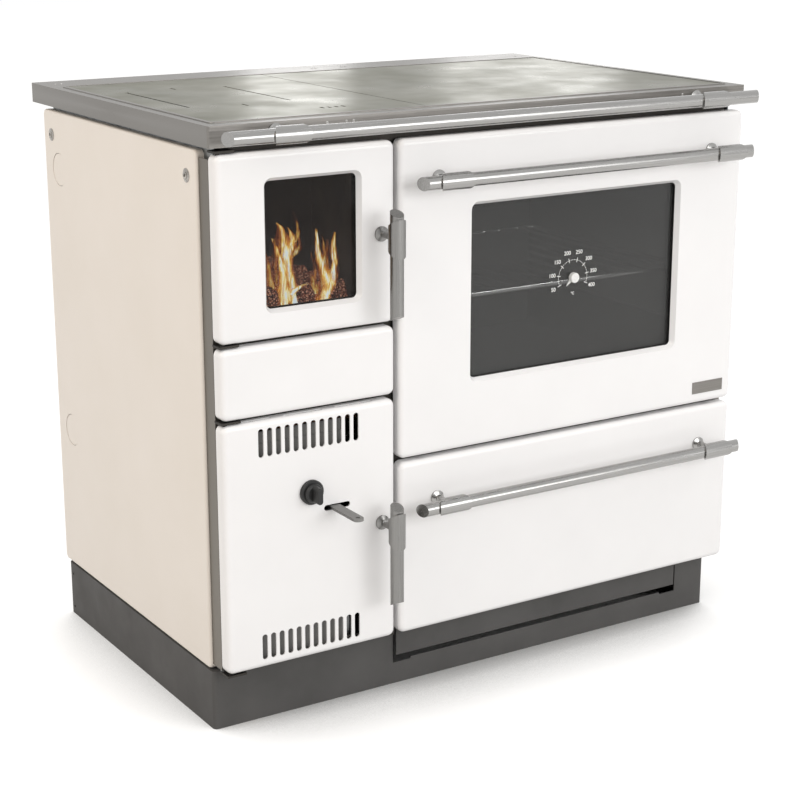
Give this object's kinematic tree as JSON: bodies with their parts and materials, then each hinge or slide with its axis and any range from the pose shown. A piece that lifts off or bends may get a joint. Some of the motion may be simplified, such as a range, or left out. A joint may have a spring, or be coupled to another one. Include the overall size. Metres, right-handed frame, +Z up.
{
  "type": "wood-burning cookstove",
  "caption": "Free-standing wood cookstove with a glazed firebox door, a vented ash door, a glazed oven door, a drawer, steel rails and a steel hob.",
  "frame": {"origin": "on the floor, under the middle of the worktop", "axes": "+X to the right as seen from the front, +Y to the back, +Z up"},
  "size_m": [0.9, 0.679, 0.85],
  "materials": {
    "white_enamel": "glossy vitreous enamel",
    "casing_enamel": "cream enamel",
    "grey_paint": "satin heat-resistant paint",
    "carcass_steel": "dull sheet steel",
    "stainless": "brushed stainless steel",
    "hob_steel": "ground steel plate",
    "cast_iron": "raw casting",
    "firebrick": "rough fireclay",
    "dark_glass": "heat-resistant glass",
    "black_plastic": "thermoset knob",
    "chromed_wire": "chromed wire",
    "galvanised": "galvanised sheet"
  },
  "bodies": {
    "stove": {"plinth": "grey_paint", "carcass_floor": "galvanised", "carcass_side_left": "galvanised", "carcass_side_right": "galvanised", "carcass_rear": "galvanised", "partition": "galvanised", "corner_strip_left": "stainless", "corner_strip_right": "stainless", "side_panel_left": "casing_enamel", "side_panel_right": "casing_enamel", "knockout_discs": "casing_enamel", "front_header": "carcass_steel", "middle_rail": "carcass_steel", "front_rail_right": "carcass_steel", "front_mullion": "carcass_steel", "hob_frame": "stainless", "worktop_rail_bar": "stainless", "worktop_rail_brackets": "stainless", "middle_panel": "white_enamel", "fire_brick_left": "firebrick", "fire_brick_right": "firebrick", "fire_brick_back": "firebrick", "hearth_plate": "cast_iron", "oven_liner": "grey_paint", "rack_rails": "grey_paint", "drawer_runners": "galvanised", "flue_collar": "grey_paint", "left_hinge_brackets": "carcass_steel", "oven_hinge_brackets": "carcass_steel"},
    "firebox_door": {"firebox_door_panel": "white_enamel", "firebox_door_glass": "dark_glass", "firebox_door_lining": "grey_paint"},
    "firebox_handle": {"firebox_handle_bar": "stainless", "firebox_handle_mount": "stainless"},
    "ash_door": {"ash_door_panel": "white_enamel", "ash_door_shield": "galvanised"},
    "ash_handle": {"ash_handle_bar": "stainless", "ash_handle_mount": "stainless"},
    "air_knob": {"air_knob": "black_plastic"},
    "air_flap": {"air_flap": "galvanised"},
    "shaker": {"shaker_lever": "carcass_steel", "fire_grate": "cast_iron"},
    "ash_pan": {"ash_pan": "galvanised"},
    "oven_door": {"oven_door_panel": "white_enamel", "oven_window_gasket": "black_plastic", "oven_door_glass": "dark_glass", "oven_door_inner_glass": "dark_glass", "oven_door_lining": "grey_paint", "badge_plate": "stainless", "oven_rail_bar": "stainless", "oven_rail_brackets": "stainless"},
    "oven_pointer": {"oven_pointer": "white_enamel"},
    "oven_rack": {"oven_rack": "chromed_wire"},
    "drawer": {"drawer_front": "white_enamel", "drawer_box": "galvanised", "drawer_kick": "grey_paint", "drawer_rail_bar": "stainless", "drawer_rail_brackets": "stainless"},
    "hob_plate_left": {"hob_plate_left": "hob_steel"},
    "hob_plate_right": {"hob_plate_right": "hob_steel"}
  },
  "joints": [
    {"name": "firebox_door_hinge", "type": "hinge", "parent": "stove", "child": "firebox_door", "pos_m": [-0.4365, -0.298, 0.6875], "axis": [0, 0, -1], "range_deg": [0, 110]},
    {"name": "firebox_handle_turn", "type": "hinge", "parent": "firebox_door", "child": "firebox_handle", "pos_m": [-0.198, -0.307, 0.6875], "axis": [0, 1, 0], "range_deg": [0, 45]},
    {"name": "ash_door_hinge", "type": "hinge", "parent": "stove", "child": "ash_door", "pos_m": [-0.4365, -0.298, 0.2755], "axis": [0, 0, -1], "range_deg": [0, 110]},
    {"name": "ash_handle_turn", "type": "hinge", "parent": "ash_door", "child": "ash_handle", "pos_m": [-0.198, -0.307, 0.2755], "axis": [0, 1, 0], "range_deg": [0, 45]},
    {"name": "air_knob_turn", "type": "hinge", "parent": "ash_door", "child": "air_knob", "pos_m": [-0.31195, -0.307, 0.341], "axis": [0, 1, 0], "range_deg": [0, 270]},
    {"name": "air_flap_hinge", "type": "hinge", "parent": "ash_door", "child": "air_flap", "pos_m": [-0.34495, -0.2925, 0.16], "axis": [1, 0, 0], "range_deg": [0, 30]},
    {"name": "shaker_slide", "type": "slide", "parent": "stove", "child": "shaker", "axis": [0, 1, 0], "range_m": [0, 0.025]},
    {"name": "ash_pan_slide", "type": "slide", "parent": "stove", "child": "ash_pan", "axis": [0, -1, 0], "range_m": [0, 0.16]},
    {"name": "oven_door_hinge", "type": "hinge", "parent": "stove", "child": "oven_door", "pos_m": [0.13825, -0.298, 0.37], "axis": [1, 0, 0], "range_deg": [0, 90]},
    {"name": "oven_rack_slide", "type": "slide", "parent": "stove", "child": "oven_rack", "axis": [0, -1, 0], "range_m": [0, 0.16]},
    {"name": "oven_pointer_turn", "type": "hinge", "parent": "oven_door", "child": "oven_pointer", "pos_m": [0.13825, -0.2943, 0.587], "axis": [0, 1, 0], "range_deg": [0, 270]},
    {"name": "drawer_slide", "type": "slide", "parent": "stove", "child": "drawer", "axis": [0, -1, 0], "range_m": [0, 0.3]},
    {"name": "hob_plate_left_lift", "type": "slide", "parent": "stove", "child": "hob_plate_left", "axis": [0, 0, 1], "range_m": [0, 0.08]},
    {"name": "hob_plate_right_lift", "type": "slide", "parent": "stove", "child": "hob_plate_right", "axis": [0, 0, 1], "range_m": [0, 0.08]}
  ],
  "couplings": [
    {"joint": "air_flap_hinge", "follows": "air_knob_turn", "ratio": 0.111},
    {"joint": "ash_pan_slide", "follows": "ash_door_hinge", "m_per_rad": 0.078},
    {"joint": "oven_rack_slide", "follows": "oven_door_hinge", "m_per_rad": 0.0955}
  ]
}
